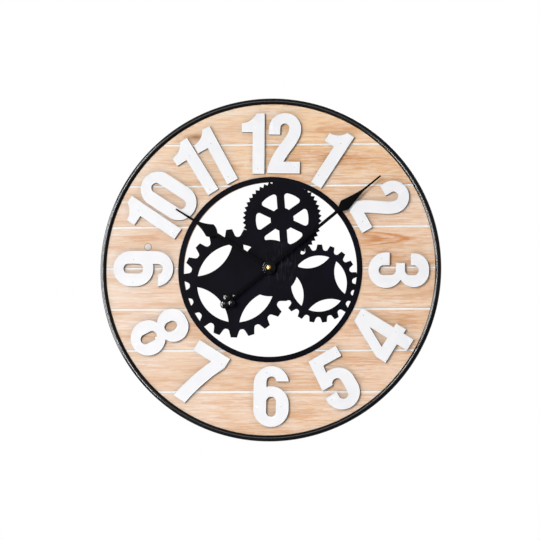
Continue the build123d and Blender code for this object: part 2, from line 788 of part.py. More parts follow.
with BuildPart() as minute_wheel:
    toothed_disc(minute_wheel_spot, minute_wheel_teeth, motion_module, minute_wheel_phase,
                 wheel_tooth_shares, cannon_level, cannon_level + wheel_web)
    toothed_disc(minute_wheel_spot, leaf_count, hour_module, minute_leaf_phase,
                 leaf_tooth_shares, cannon_level + wheel_web, hour_wheel_level + wheel_web)
    disc(minute_wheel_spot, stud_radius + running_gap, cannon_level, floor_back, Mode.SUBTRACT)
save(minute_wheel, "minute_wheel")

with BuildPart() as hour_wheel:
    toothed_disc(hub, hour_wheel_teeth, hour_module, hour_wheel_phase, wheel_tooth_shares,
                 hour_wheel_level, hour_wheel_level + wheel_web)
    pipe_front = hour_hand_back + hand_thickness
    disc(hub, hour_pipe_radius, hour_wheel_level, pipe_front)
    disc(hub, minute_pipe_radius + pipe_gap, hour_wheel_level, pipe_front, Mode.SUBTRACT)
save(hour_wheel, "hour_wheel")

# Setting knob: a thumb disc behind the cover, its shaft and pinion
knob_back = case_back - cover_thickness - fit_gap - knob_thickness
with BuildPart() as setting_knob:
    disc(knob_spot, knob_radius, knob_back, knob_back + knob_thickness)
    disc(knob_spot, knob_shaft_radius, knob_back + knob_thickness, cannon_level)
    toothed_disc(knob_spot, leaf_count, motion_module, knob_leaf_phase, leaf_tooth_shares,
                 cannon_level, cannon_level + wheel_web)
save(setting_knob, "setting_knob")

# Battery and its two spring-leaf contacts
battery_plane = Plane(origin=(-battery_length / 2, half_depth - battery_height, hub_rise + battery_drop),
                      x_dir=(0, 1, 0), z_dir=(1, 0, 0))
with BuildPart() as battery:
    with BuildSketch(battery_plane):
        Circle(battery_radius)
    extrude(amount=battery_length)
    with BuildSketch(battery_plane.offset(battery_length)):
        Circle(battery_nub_radius)
    extrude(amount=battery_nub_length)
save(battery, "battery")

bay_half = inner_width / 2
with BuildPart() as battery_contacts:
    for side, reach in ((-1, battery_length / 2), (1, battery_length / 2 + battery_nub_length)):
        wall = side * (bay_half - contact_thickness / 2)
        touch = side * (reach + fit_gap + contact_thickness / 2)
        leaf_half = contact_thickness / 2
        with BuildSketch(hub_facing(battery_height - contact_height / 2)):
            with Locations((wall, battery_drop)):
                Rectangle(contact_thickness, contact_width)
            with Locations((touch, battery_drop)):
                Rectangle(contact_thickness, contact_width / 2)
            fold = battery_drop - contact_width / 4
            block(min(wall, touch) - leaf_half, max(wall, touch) + leaf_half, fold - leaf_half, fold + leaf_half)
        extrude(amount=contact_height)
save(battery_contacts, "battery_contacts")

print("clock depth", round(clock_depth, 2))
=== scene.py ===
import bpy
import math
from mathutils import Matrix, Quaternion, Vector


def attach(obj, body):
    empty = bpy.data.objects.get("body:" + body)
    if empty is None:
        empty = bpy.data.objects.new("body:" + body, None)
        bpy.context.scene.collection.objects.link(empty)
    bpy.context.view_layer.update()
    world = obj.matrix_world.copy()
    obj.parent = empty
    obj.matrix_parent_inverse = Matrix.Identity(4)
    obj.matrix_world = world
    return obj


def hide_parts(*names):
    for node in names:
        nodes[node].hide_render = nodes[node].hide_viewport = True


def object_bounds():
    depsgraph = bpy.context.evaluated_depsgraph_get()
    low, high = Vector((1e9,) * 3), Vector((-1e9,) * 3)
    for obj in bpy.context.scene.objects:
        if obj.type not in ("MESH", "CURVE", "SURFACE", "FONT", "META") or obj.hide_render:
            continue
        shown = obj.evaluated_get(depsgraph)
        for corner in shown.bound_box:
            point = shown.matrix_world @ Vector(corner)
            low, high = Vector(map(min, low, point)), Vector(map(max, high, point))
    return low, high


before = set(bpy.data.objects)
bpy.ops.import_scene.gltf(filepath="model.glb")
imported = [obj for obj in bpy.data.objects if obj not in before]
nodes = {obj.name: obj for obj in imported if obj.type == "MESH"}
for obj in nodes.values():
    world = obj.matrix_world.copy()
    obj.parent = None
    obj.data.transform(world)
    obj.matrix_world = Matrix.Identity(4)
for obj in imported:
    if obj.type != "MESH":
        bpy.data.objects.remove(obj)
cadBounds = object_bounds()
mm = 0.001
wallY = cadBounds[1][1]
hub = dict(x=0.0, z=0.0026)   # the hands turn here
# millimetres above the wall at which the solids have their faces
heights = dict(hangerBack=3.5, coverBack=4.5, battenBack=5, tabBack=9, boardBack=11, boardFront=20,
               hoopMiddle=20, digitFront=28, handFront=34)
towardsViewer = (math.pi / 2, 0, 0)   # turns an upright blank so that its axis points at the viewer
print("frame loaded:", len(nodes), "nodes")


def level(height):
    # y of a height above the wall, given in millimetres
    return wallY - height * mm


# Small helpers for picking, finishing and placing pieces

meshWork = dict(merge=0.00001, flatAngle=0.5, edgeAngle=40, smoothAngle=35)


def pick(piece):
    bpy.ops.object.select_all(action="DESELECT")
    piece.select_set(True)
    bpy.context.view_layer.objects.active = piece


def fixPlace():
    # writes the place, turn and size of the active object into its mesh
    bpy.ops.object.transform_apply(location=True, rotation=True, scale=True)
    return bpy.context.object


def applyModifier(piece, kind, **settings):
    modifier = piece.modifiers.new(kind.title(), kind)
    for key, value in settings.items():
        setattr(modifier, key, value)
    pick(piece)
    bpy.ops.object.modifier_apply(modifier=modifier.name)


def easeEdges(piece, width, segments=2, angle=meshWork["edgeAngle"]):
    applyModifier(piece, "BEVEL", width=width, segments=segments, limit_method="ANGLE",
                  angle_limit=math.radians(angle))


def settle(piece, name, finish, body):
    pick(piece)
    fixPlace()
    piece.name = name
    piece.data.name = name
    piece.data.materials.clear()
    piece.data.materials.append(finishes[finish])
    bpy.ops.object.shade_smooth_by_angle(angle=math.radians(meshWork["smoothAngle"]))
    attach(piece, body)
    return piece


def mergedCopy(nodeName):
    # a node's mesh is loose triangles, so the copy is merged and its flats dissolved
    piece = bpy.data.objects.new(nodeName + "Copy", nodes[nodeName].data.copy())
    bpy.context.scene.collection.objects.link(piece)
    pick(piece)
    bpy.ops.mesh.customdata_custom_splitnormals_clear()
    bpy.ops.object.mode_set(mode="EDIT")
    bpy.ops.mesh.select_all(action="SELECT")
    bpy.ops.mesh.remove_doubles(threshold=meshWork["merge"])
    bpy.ops.mesh.dissolve_limited(angle_limit=math.radians(meshWork["flatAngle"]))
    bpy.ops.object.mode_set(mode="OBJECT")
    return piece


def joined(pieces):
    bpy.ops.object.select_all(action="DESELECT")
    for piece in pieces:
        piece.select_set(True)
    bpy.context.view_layer.objects.active = pieces[0]
    bpy.ops.object.join()
    return pieces[0]


def addBlank(x, z, front, radius, depth, sides):
    # a round blank whose flat front looks at the viewer
    bpy.ops.mesh.primitive_cylinder_add(vertices=sides, radius=radius, depth=depth,
                                        location=(x, front + depth / 2, z), rotation=towardsViewer)
    return fixPlace()


def addRound(x, z, front, radius, depth, edge, sides=32, segments=2):
    piece = addBlank(x, z, front, radius, depth, sides)
    easeEdges(piece, edge, segments)
    return piece


def addRing(x, y, z, radius, tube, segments):
    # a ring of round tube, parallel to the wall
    bpy.ops.mesh.primitive_torus_add(location=(x, y, z), rotation=towardsViewer, major_radius=radius,
                                     minor_radius=tube, major_segments=segments[0],
                                     minor_segments=segments[1])
    return bpy.context.object


def addBlock(low, high, edge):
    # a block between its lowest and its highest corner
    middle = [(a + b) / 2 for a, b in zip(low, high)]
    bpy.ops.mesh.primitive_cube_add(size=1, location=middle, scale=[b - a for a, b in zip(low, high)])
    piece = fixPlace()
    easeEdges(piece, edge)
    return piece


def around(radius, turn):
    # x and z of a point, clockwise from straight up as the viewer sees it
    return radius * math.sin(math.radians(turn)), radius * math.cos(math.radians(turn))


# Node helpers

screenCurve = dict(full=255, toe=0.04045, slope=12.92, lift=0.055, power=2.4)


def paint(red, green, blue):
    # a colour as a screen shows it, 0 to 255, turned linear
    curve = screenCurve
    colour = []
    for step in (red / curve["full"], green / curve["full"], blue / curve["full"]):
        lifted = (step + curve["lift"]) / (1 + curve["lift"])
        colour.append(step / curve["slope"] if step < curve["toe"] else lifted ** curve["power"])
    return colour + [1]


def addNode(tree, kind, inputs=None, **settings):
    # an input is either linked to another node's output or set to a value
    node = tree.nodes.new(kind)
    for key, value in settings.items():
        setattr(node, key, value)
    for key, value in (inputs or {}).items():
        if isinstance(value, bpy.types.NodeSocket):
            tree.links.new(value, node.inputs[key])
        else:
            node.inputs[key].default_value = value
    return node


def calc(tree, operation, *values, clamp=False):
    node = addNode(tree, "ShaderNodeMath", dict(enumerate(values)), operation=operation, use_clamp=clamp)
    return node.outputs[0]


def plus(tree, first, second, clamp=False):
    return calc(tree, "ADD", first, second, clamp=clamp)


def times(tree, first, second, clamp=False):
    return calc(tree, "MULTIPLY", first, second, clamp=clamp)


def ramp(tree, value, low, high, lowOut=0.0, highOut=1.0):
    # a soft step from lowOut to highOut while the value goes from low to high
    return addNode(tree, "ShaderNodeMapRange", {"Value": value, "From Min": low, "From Max": high,
                                                "To Min": lowOut, "To Max": highOut},
                   interpolation_type="SMOOTHSTEP").outputs[0]


def mixColour(tree, share, first, second):
    # the node has sockets A and B for each type of value: 6, 7 and 2 are those for colours
    return addNode(tree, "ShaderNodeMix", {0: share, 6: first, 7: second}, data_type="RGBA").outputs[2]


def split(tree, vector):
    return addNode(tree, "ShaderNodeSeparateXYZ", {0: vector}).outputs


def offset(tree, value, centre, size):
    # distance from a centre, counted in sizes
    return calc(tree, "DIVIDE", calc(tree, "SUBTRACT", value, centre), size)


def softSpot(tree, along, upward):
    # 1 in the middle of a spot, nearly gone two sizes away from it
    reach = plus(tree, times(tree, along, along), times(tree, upward, upward))
    return calc(tree, "EXPONENT", times(tree, reach, -1.0))


def noise(tree, place, stretch, detail=3.0, roughness=0.5):
    scaled = addNode(tree, "ShaderNodeVectorMath", {0: place, 1: stretch}, operation="MULTIPLY").outputs[0]
    return addNode(tree, "ShaderNodeTexNoise", {"Vector": scaled, "Scale": 1.0, "Detail": detail,
                                                "Roughness": roughness}).outputs[0]


def newGroup(name, inputs, outputs):
    # a node group that takes a place and some numbers, and gives numbers
    tree = bpy.data.node_groups.new(name, "ShaderNodeTree")
    tree.interface.new_socket(name="Place", in_out="INPUT", socket_type="NodeSocketVector")
    for label in inputs:
        tree.interface.new_socket(name=label, in_out="INPUT", socket_type="NodeSocketFloat")
    for label in outputs:
        tree.interface.new_socket(name=label, in_out="OUTPUT", socket_type="NodeSocketFloat")
    return tree, tree.nodes.new("NodeGroupInput").outputs, tree.nodes.new("NodeGroupOutput").inputs


def useGroup(tree, group, inputs):
    return addNode(tree, "ShaderNodeGroup", inputs, node_tree=group).outputs


def newMaterial(name, **sockets):
    # the shader's sockets are given by name, with _ for a space
    material = bpy.data.materials.new(name)
    material.use_nodes = True
    tree = material.node_tree
    shader = tree.nodes["Principled BSDF"]
    for key, value in sockets.items():
        shader.inputs[key.replace("_", " ")].default_value = value
    place = addNode(tree, "ShaderNodeTexCoord").outputs["Object"]
    return material, tree, shader, place


def setBump(tree, shader, height, strength, distance):
    bump = addNode(tree, "ShaderNodeBump", {"Strength": strength, "Distance": distance, "Height": height})
    tree.links.new(bump.outputs[0], shader.inputs["Normal"])


# Growth rings, fibre, tone and wash along X, for any board; Bend pushes the rings around knots

boardLook = dict(
    shift=(1.37, 3.1),   # how far the pattern moves on from one board to the next
    field=dict(stretch=(2.2, 1.0, 15.0), detail=1.0, roughness=0.3),
    wobble=dict(stretch=(11.0, 4.0, 90.0), roughness=0.6), wobbleShare=0.8,
    fine=dict(stretch=(42.0, 20.0, 620.0), roughness=0.6), fineShare=0.35,
    coarse=dict(stretch=(13.0, 10.0, 290.0), detail=4.0, roughness=0.7), coarseShare=0.65,
    tone=dict(stretch=(4.0, 1.0, 30.0), detail=4.0, roughness=0.6),
    wash=dict(stretch=(30.0, 6.0, 330.0), detail=5.0, roughness=0.7))


def makeBoardGrain():
    look = boardLook
    tree, given, out = newGroup("boardGrain", ("Board", "Rings", "Bend"), ("Ring", "Fibre", "Tone", "Wash"))
    steps = [times(tree, given["Board"], step) for step in look["shift"]]
    shift = addNode(tree, "ShaderNodeCombineXYZ", dict(enumerate(steps))).outputs[0]
    place = addNode(tree, "ShaderNodeVectorMath", {0: given["Place"], 1: shift}, operation="ADD").outputs[0]
    phase = plus(tree, times(tree, noise(tree, place, **look["field"]), given["Rings"]), given["Bend"])
    phase = plus(tree, phase, times(tree, noise(tree, place, **look["wobble"]), look["wobbleShare"]))
    wave = calc(tree, "SINE", times(tree, phase, math.tau))
    fibre = plus(tree, times(tree, noise(tree, place, **look["fine"]), look["fineShare"]),
                 times(tree, noise(tree, place, **look["coarse"]), look["coarseShare"]))
    tree.links.new(ramp(tree, wave, 0.0, 1.0), out["Ring"])
    tree.links.new(fibre, out["Fibre"])
    tree.links.new(noise(tree, place, **look["tone"]), out["Tone"])
    tree.links.new(noise(tree, place, **look["wash"]), out["Wash"])
    return tree


# Fine grain of a sprayed or moulded surface, and a slow change over it

speckleLook = dict(grainDetail=2.0, cloudScale=14.0, cloudDetail=3.0, cloudColour=(0.4, 0.7),
                   cloudRough=(0.3, 0.7))


def makeSpeckle():
    look = speckleLook
    tree, given, out = newGroup("speckle", ("Size",), ("Grain", "Cloud"))
    scale = calc(tree, "DIVIDE", 1.0, given["Size"])
    for label, size, detail in (("Grain", scale, look["grainDetail"]),
                                ("Cloud", look["cloudScale"], look["cloudDetail"])):
        inputs = {"Vector": given["Place"], "Scale": size, "Detail": detail}
        tree.links.new(addNode(tree, "ShaderNodeTexNoise", inputs).outputs[0], out[label])
    return tree


def cloudy(tree, grain, first, second):
    # two colours in slow patches
    return mixColour(tree, ramp(tree, grain["Cloud"], *speckleLook["cloudColour"]), first, second)


boardGrain = makeBoardGrain()
speckle = makeSpeckle()

# Wood of the dial: pale washed pine, white paint in the grooves, bare wood on the cut edges and the back, a
# thin stripe of painted shade above each groove, and painted light that makes the left side paler

dialWood = dict(
    pale=paint(246, 213, 185), tan=paint(236, 198, 163), honey=paint(253, 213, 166),
    orange=paint(213, 143, 85), streak=paint(224, 160, 102), wash=paint(250, 232, 217),
    knot=paint(140, 88, 54), grooveShade=paint(150, 108, 84), groovePaint=paint(252, 251, 250),
    bare=paint(186, 136, 92), raw=paint(214, 174, 126), rawRing=paint(190, 142, 94),
    face=level(heights["boardFront"]), back=level(heights["boardBack"]), skin=0.0002, grooveDeep=0.0013,
    pitch=0.072, rise=hub["z"], outerRow=3.5, paintShare=0.0215, grooveShadeShare=0.034, grooveShadeStrength=0.8,
    rings=7.0, boardShare=0.3, cutRingShare=0.3, warmCover=0.8, bump=(0.2, 0.0004))
# where each effect begins and ends in the value that it follows, and its strength at both
dialRamps = dict(
    tone=(0.38, 0.68, 0.0, 0.8), honeyRise=(0.1, 0.22, 0.0, 0.85), ringTone=(0.4, 0.65, 0.06, 0.42),
    streakFibre=(0.485, 0.575, 0.0, 0.52), warmFibre=(0.38, 0.58, 0.5, 1.0), wash=(0.5, 0.58, 0.0, 0.52),
    paintedLightLeft=(-0.3, 0.05, 0.45, 0.0), washTop=(0.18, 0.25, 0.0, 0.35), washTopLeft=(-0.15, 0.12, 1.0, 0.3),
    washTone=(0.4, 0.62, 1.25, 0.45), rawFibre=(0.42, 0.62, 0.0, 0.6), roughness=(0.3, 0.7, 0.52, 0.7))
# knots and flames: place, size, bend of the rings, how orange, how dark, how much thinner at the right
grainMarks = [
    dict(x=-0.133, z=0.233, wide=0.020, high=0.007, bend=3.0, orange=0.6, dark=0.8),
    dict(x=-0.236, z=0.057, wide=0.022, high=0.004, bend=1.6, orange=0.6),
    dict(x=0.200, z=0.053, wide=0.055, high=0.012, bend=1.2, orange=0.3, thinner=0.95),
    dict(x=0.062, z=0.200, wide=0.050, high=0.014, bend=1.4, orange=0.45),
    dict(x=0.160, z=0.190, wide=0.060, high=0.014, bend=0.9, orange=0.7),
    dict(x=0.100, z=0.243, wide=0.045, high=0.008, bend=0.9, orange=0.5),
    dict(x=0.060, z=0.160, wide=0.050, high=0.010, bend=0.9, orange=0.6),
    dict(x=0.215, z=0.020, wide=0.040, high=0.008, bend=0.8, orange=0.6),
    dict(x=-0.215, z=-0.043, wide=0.030, high=0.005, bend=0.8, orange=0.5),
    dict(x=0.245, z=-0.095, wide=0.040, high=0.008, bend=1.1, orange=0.25),
    dict(x=-0.165, z=-0.095, wide=0.040, high=0.006, bend=0.6, orange=0.4),
    dict(x=-0.170, z=0.190, wide=0.030, high=0.010, bend=0.9, orange=0.55),
    dict(x=-0.070, z=0.245, wide=0.060, high=0.012, bend=0.9, orange=0.35),
    dict(x=-0.060, z=-0.232, wide=0.070, high=0.010, bend=0.9, orange=0.25),
    dict(x=0.160, z=-0.160, wide=0.050, high=0.008, bend=0.8, orange=0.4),
]
markThinning = (-1.0, 1.1)   # from the left end of a mark to its tip, in widths
# pointed arches of the grain: the tip, the length to the left, half height there, arches, how orange
grainArches = [
    dict(x=0.254, z=0.053, long=0.105, high=0.015, arches=2.5, orange=1.1),
    dict(x=-0.180, z=0.055, long=0.080, high=0.007, arches=2.0, orange=0.5),
    dict(x=0.270, z=-0.083, long=0.090, high=0.009, arches=2.0, orange=0.5),
    dict(x=0.150, z=0.196, long=0.110, high=0.012, arches=3.0, orange=0.45),
]
archLook = dict(ragged=0.5, outline=(-0.02, 0.04), fade=(0.35, 1.25, 1.0, 0.0),
                lines=(-0.4, 0.9, 0.35, 1.0))


def addMarks(tree, x, z):
    # what the knots and flames add up to: bend of the rings, orange and dark
    sums = dict(bend=None, orange=None, dark=None)
    for mark in grainMarks:
        along = offset(tree, x, mark["x"], mark["wide"])
        thinned = ramp(tree, along, *markThinning, 1.0, 1.0 - mark.get("thinner", 0.0))
        high = times(tree, mark["high"], thinned)
        near = softSpot(tree, along, offset(tree, z, mark["z"], high))
        for key in sums:
            if key in mark:
                part = times(tree, near, mark[key])
                sums[key] = plus(tree, sums[key], part) if sums[key] else part
    return sums


def addArches(tree, x, z, fibre):
    # nested parabolas with their tips to the right, their outlines ragged along the fibre
    total = None
    for arch in grainArches:
        back = offset(tree, x, arch["x"], -arch["long"])
        side = offset(tree, z, arch["z"], arch["high"])
        shape = calc(tree, "SUBTRACT", back, times(tree, side, side))
        shape = plus(tree, shape, times(tree, calc(tree, "SUBTRACT", fibre, 0.5), archLook["ragged"]))
        inside = times(tree, ramp(tree, shape, *archLook["outline"]), ramp(tree, back, *archLook["fade"]))
        depth = calc(tree, "SQRT", calc(tree, "MAXIMUM", shape, 0.0))
        wave = calc(tree, "COSINE", times(tree, depth, math.tau * arch["arches"]))
        lines = ramp(tree, wave, *archLook["lines"])
        part = times(tree, times(tree, inside, lines), arch["orange"])
        total = plus(tree, total, part) if total else part
    return total


def paintFace(tree, x, z, board, grain, sums):
    # the front of the boards without their grooves: tones, streaks, flames, white wash and knots, the wash
    # stronger towards the left as painted light
    look = dialWood
    boardTone = addNode(tree, "ShaderNodeTexWhiteNoise", {"W": board}, noise_dimensions="1D").outputs["Value"]
    tone = plus(tree, ramp(tree, grain["Tone"], *dialRamps["tone"]),
                times(tree, boardTone, look["boardShare"]), clamp=True)
    colour = mixColour(tree, tone, look["pale"], look["tan"])
    colour = mixColour(tree, ramp(tree, z, *dialRamps["honeyRise"]), colour, look["honey"])
    rings = times(tree, grain["Ring"], ramp(tree, grain["Tone"], *dialRamps["ringTone"]))
    colour = mixColour(tree, rings, colour, look["orange"])
    colour = mixColour(tree, ramp(tree, grain["Fibre"], *dialRamps["streakFibre"]), colour, look["streak"])
    warm = times(tree, sums["orange"], ramp(tree, grain["Fibre"], *dialRamps["warmFibre"]))
    warm = plus(tree, warm, addArches(tree, x, z, grain["Fibre"]), clamp=True)
    colour = mixColour(tree, warm, colour, look["orange"])
    # painted light: more wash towards the left makes the left side paler, as if lit from there
    washed = plus(tree, ramp(tree, grain["Wash"], *dialRamps["wash"]), ramp(tree, x, *dialRamps["paintedLightLeft"]))
    topWash = times(tree, ramp(tree, z, *dialRamps["washTop"]), ramp(tree, x, *dialRamps["washTopLeft"]))
    washed = plus(tree, washed, topWash, clamp=True)
    washed = times(tree, washed, calc(tree, "SUBTRACT", 1.0, times(tree, warm, look["warmCover"])))
    washed = times(tree, washed, ramp(tree, grain["Tone"], *dialRamps["washTone"]))
    colour = mixColour(tree, washed, colour, look["wash"])
    return mixColour(tree, calc(tree, "POWER", sums["dark"], 2.0), colour, look["knot"])


def makeDialWood():
    look = dialWood
    material, tree, shader, place = newMaterial("dialWood", Roughness=0.6, Specular_IOR_Level=0.05)
    x, y, z = split(tree, place)
    row = offset(tree, z, look["rise"], look["pitch"])
    board = calc(tree, "FLOOR", row)
    above = calc(tree, "SUBTRACT", row, calc(tree, "ROUND", row))   # from the nearest groove, in rows
    sums = addMarks(tree, x, z)
    grain = useGroup(tree, boardGrain, {"Place": place, "Board": board, "Rings": look["rings"],
                                        "Bend": sums["bend"]})
    colour = paintFace(tree, x, z, board, grain, sums)
    onBoards = calc(tree, "LESS_THAN", calc(tree, "ABSOLUTE", row), look["outerRow"])
    # painted shade: a darker stripe on the face just above each groove, along the lower edge of the board
    # above, as if shaded
    grooveShade = ramp(tree, above, look["paintShare"], look["grooveShadeShare"], look["grooveShadeStrength"], 0.0)
    grooveShade = times(tree, grooveShade, calc(tree, "GREATER_THAN", above, 0.0))
    colour = mixColour(tree, times(tree, grooveShade, onBoards), colour, look["grooveShade"])
    inGroove = calc(tree, "LESS_THAN", calc(tree, "ABSOLUTE", above), look["paintShare"])
    painted = times(tree, inGroove, onBoards)
    colour = mixColour(tree, painted, colour, look["groovePaint"])
    cut = mixColour(tree, times(tree, grain["Ring"], look["cutRingShare"]), look["bare"], look["orange"])
    raw = mixColour(tree, grain["Ring"], look["raw"], look["rawRing"])
    raw = mixColour(tree, ramp(tree, grain["Fibre"], *dialRamps["rawFibre"]), raw, look["rawRing"])
    cut = mixColour(tree, calc(tree, "GREATER_THAN", y, look["back"] - look["skin"]), cut, raw)
    colour = mixColour(tree, calc(tree, "GREATER_THAN", y, look["face"] + look["skin"]), colour, cut)
    shallow = calc(tree, "LESS_THAN", y, look["face"] + look["grooveDeep"])
    colour = mixColour(tree, times(tree, painted, shallow), colour, look["groovePaint"])
    tree.links.new(colour, shader.inputs["Base Color"])
    tree.links.new(ramp(tree, grain["Wash"], *dialRamps["roughness"]), shader.inputs["Roughness"])
    setBump(tree, shader, grain["Fibre"], *look["bump"])
    return material


# Plywood of the battens: face grain, and plies on the edges

plywoodLook = dict(face=paint(214, 178, 132), darker=paint(180, 138, 92), glue=paint(120, 82, 52), board=11.0,
                   rings=6.0, ringShare=0.55, ply=0.0012, glueFrom=0.82, glueShare=0.6, edgeFacing=0.5,
                   bump=(0.3, 0.0004))


def makePlywood():
    look = plywoodLook
    material, tree, shader, place = newMaterial("plywood", Roughness=0.7)
    y = split(tree, place)[1]
    facing = split(tree, addNode(tree, "ShaderNodeNewGeometry").outputs["True Normal"])[1]
    grain = useGroup(tree, boardGrain, {"Place": place, "Board": look["board"], "Rings": look["rings"],
                                        "Bend": 0.0})
    colour = mixColour(tree, times(tree, grain["Ring"], look["ringShare"]), look["face"], look["darker"])
    layer = calc(tree, "FRACT", calc(tree, "DIVIDE", y, look["ply"]))
    glue = calc(tree, "GREATER_THAN", layer, look["glueFrom"])
    edge = calc(tree, "LESS_THAN", calc(tree, "ABSOLUTE", facing), look["edgeFacing"])
    glued = times(tree, times(tree, glue, edge), look["glueShare"])
    tree.links.new(mixColour(tree, glued, colour, look["glue"]), shader.inputs["Base Color"])
    setBump(tree, shader, grain["Fibre"], *look["bump"])
    return material


# Painted numerals: white in front, scorched fibreboard on the cut sides

numeralLook = dict(front=paint(248, 248, 250), shadeFront=paint(245, 245, 248), side=paint(22, 12, 8),
                   sideLight=paint(42, 26, 18), paintLine=level(heights["digitFront"]) + 0.00008,
                   ragged=0.00012, speckle=0.0016, shadeCloud=(0.4, 0.65), sideGrain=(0.35, 0.7),
                   frontRough=0.48, sideRougher=0.35, bump=(0.08, 0.0002))


def makeNumeralPaint():
    look = numeralLook
    material, tree, shader, place = newMaterial("numeralPaint", Specular_IOR_Level=0.05)
    y = split(tree, place)[1]
    grain = useGroup(tree, speckle, {"Place": place, "Size": look["speckle"]})
    wander = times(tree, calc(tree, "SUBTRACT", grain["Grain"], 0.5), look["ragged"])
    side = calc(tree, "GREATER_THAN", plus(tree, y, wander), look["paintLine"])
    shade = ramp(tree, grain["Cloud"], *look["shadeCloud"])
    front = mixColour(tree, shade, look["front"], look["shadeFront"])
    edge = mixColour(tree, ramp(tree, grain["Grain"], *look["sideGrain"]), look["side"], look["sideLight"])
    tree.links.new(mixColour(tree, side, front, edge), shader.inputs["Base Color"])
    rough = plus(tree, times(tree, side, look["sideRougher"]), look["frontRough"])
    tree.links.new(rough, shader.inputs["Roughness"])
    setBump(tree, shader, grain["Grain"], *look["bump"])
    return material


# Sprayed metal, moulded plastic, bare metal, filler and rubber come from one function with their own values

sprays = {
    "hoopEnamel": dict(colours=(paint(6, 6, 9), paint(10, 10, 14)), rough=(0.13, 0.16), bump=0.002,
                       Specular_IOR_Level=0.1),
    "gearEnamel": dict(colours=(paint(6, 6, 14), paint(12, 11, 23)), rough=(0.32, 0.4),
                       Specular_IOR_Level=0.008),
    "handEnamel": dict(colours=(paint(3, 3, 6), paint(6, 6, 10)), rough=(0.2, 0.26), bump=0.02,
                       Specular_IOR_Level=0.006),
    "lobeEnamel": dict(colours=(paint(3, 3, 6), paint(6, 6, 10)), rough=(0.07, 0.1), bump=0.02,
                       Specular_IOR_Level=0.1),
    "turnedBrass": dict(colours=(paint(186, 138, 82), paint(160, 112, 62)), rough=(0.24, 0.34), Metallic=1.0),
    "zincPlate": dict(colours=(paint(190, 192, 198), paint(165, 168, 176)), rough=(0.28, 0.42), Metallic=1.0),
    "casePlastic": dict(colours=(paint(30, 30, 32), paint(38, 38, 41)), rough=(0.45, 0.58), bump=0.2,
                        size=0.0005),
    "wheelPlastic": dict(colours=(paint(228, 226, 216), paint(214, 211, 199)), rough=(0.4, 0.5)),
    "padRubber": dict(colours=(paint(34, 34, 34), paint(46, 46, 45)), rough=(0.75, 0.9), bump=0.3,
                      size=0.0008),
    "bradSteel": dict(colours=(paint(150, 150, 156), paint(196, 196, 200)), rough=(0.35, 0.5), Metallic=0.6),
    "knotFiller": dict(colours=(paint(240, 235, 230), paint(222, 212, 203)), rough=(0.5, 0.6), bump=0.2,
                       Specular_IOR_Level=0.05),
    "knotRing": dict(colours=(paint(196, 164, 148), paint(170, 136, 120)), rough=(0.5, 0.6),
                     Specular_IOR_Level=0.05),
}
sprayBumpDistance = 0.0001


def makeSprayed(name, colours, rough, bump=0.05, size=0.0006, **sockets):
    material, tree, shader, place = newMaterial(name, **sockets)
    grain = useGroup(tree, speckle, {"Place": place, "Size": size})
    tree.links.new(cloudy(tree, grain, *colours), shader.inputs["Base Color"])
    tree.links.new(ramp(tree, grain["Cloud"], *speckleLook["cloudRough"], *rough), shader.inputs["Roughness"])
    setBump(tree, shader, grain["Grain"], bump, sprayBumpDistance)
    return material


# Painted sheen in the gear sheet's enamel: faint lighter upright streaks and patches, strongest beside the
# hub

hubSheen = dict(x=0.021, z=0.010, wide=0.028, high=0.034, colour=paint(52, 52, 60), share=0.75,
                sheenStreak=dict(stretch=(420.0, 5.0, 38.0), roughness=0.6), sheenStreakRange=(0.53, 0.68),
                sheenPatch=dict(stretch=(90.0, 5.0, 60.0), roughness=0.6), sheenPatchRange=(0.5, 0.7, 0.0, 0.5))


def addHubSheen(material, mark):
    tree = material.node_tree
    shader = tree.nodes["Principled BSDF"]
    place = addNode(tree, "ShaderNodeTexCoord").outputs["Object"]
    x, y, z = split(tree, place)
    near = softSpot(tree, offset(tree, x, mark["x"], mark["wide"]), offset(tree, z, mark["z"], mark["high"]))
    sheenStreaks = ramp(tree, noise(tree, place, **mark["sheenStreak"]), *mark["sheenStreakRange"])
    sheenPatch = ramp(tree, noise(tree, place, **mark["sheenPatch"]), *mark["sheenPatchRange"])
    # painted sheen: lighter upright streaks and patches mixed into the enamel beside the hub
    sheened = times(tree, plus(tree, sheenStreaks, sheenPatch), times(tree, near, mark["share"]), clamp=True)
    plain = shader.inputs["Base Color"].links[0].from_socket
    tree.links.new(mixColour(tree, sheened, plain, mark["colour"]), shader.inputs["Base Color"])


# Wrap of the cell: dark, with a copper-coloured end

wrapLook = dict(wraps=(paint(38, 40, 46), paint(48, 50, 57)),
                coppers=(paint(196, 120, 66), paint(176, 104, 54)),
                copperFrom=0.011, copperMetal=0.8, speckle=0.0008)


def makeBatteryWrap():
    look = wrapLook
    material, tree, shader, place = newMaterial("batteryWrap", Roughness=0.3, Coat_Weight=0.4,
                                                Coat_Roughness=0.15)
    grain = useGroup(tree, speckle, {"Place": place, "Size": look["speckle"]})
    band = calc(tree, "GREATER_THAN", split(tree, place)[0], look["copperFrom"])
    colour = mixColour(tree, band, cloudy(tree, grain, *look["wraps"]), cloudy(tree, grain, *look["coppers"]))
    tree.links.new(colour, shader.inputs["Base Color"])
    tree.links.new(times(tree, band, look["copperMetal"]), shader.inputs["Metallic"])
    return material


finishes = dict(dialWood=makeDialWood(), plywood=makePlywood(), numeralPaint=makeNumeralPaint())
for finishName, values in sprays.items():
    finishes[finishName] = makeSprayed(finishName, **values)
# paints the lighter sheen beside the hub into the gear enamel
addHubSheen(finishes["gearEnamel"], hubSheen)
finishes["batteryWrap"] = makeBatteryWrap()
print("materials made")

# Every node gets the finish of the longest name here that its own name starts with

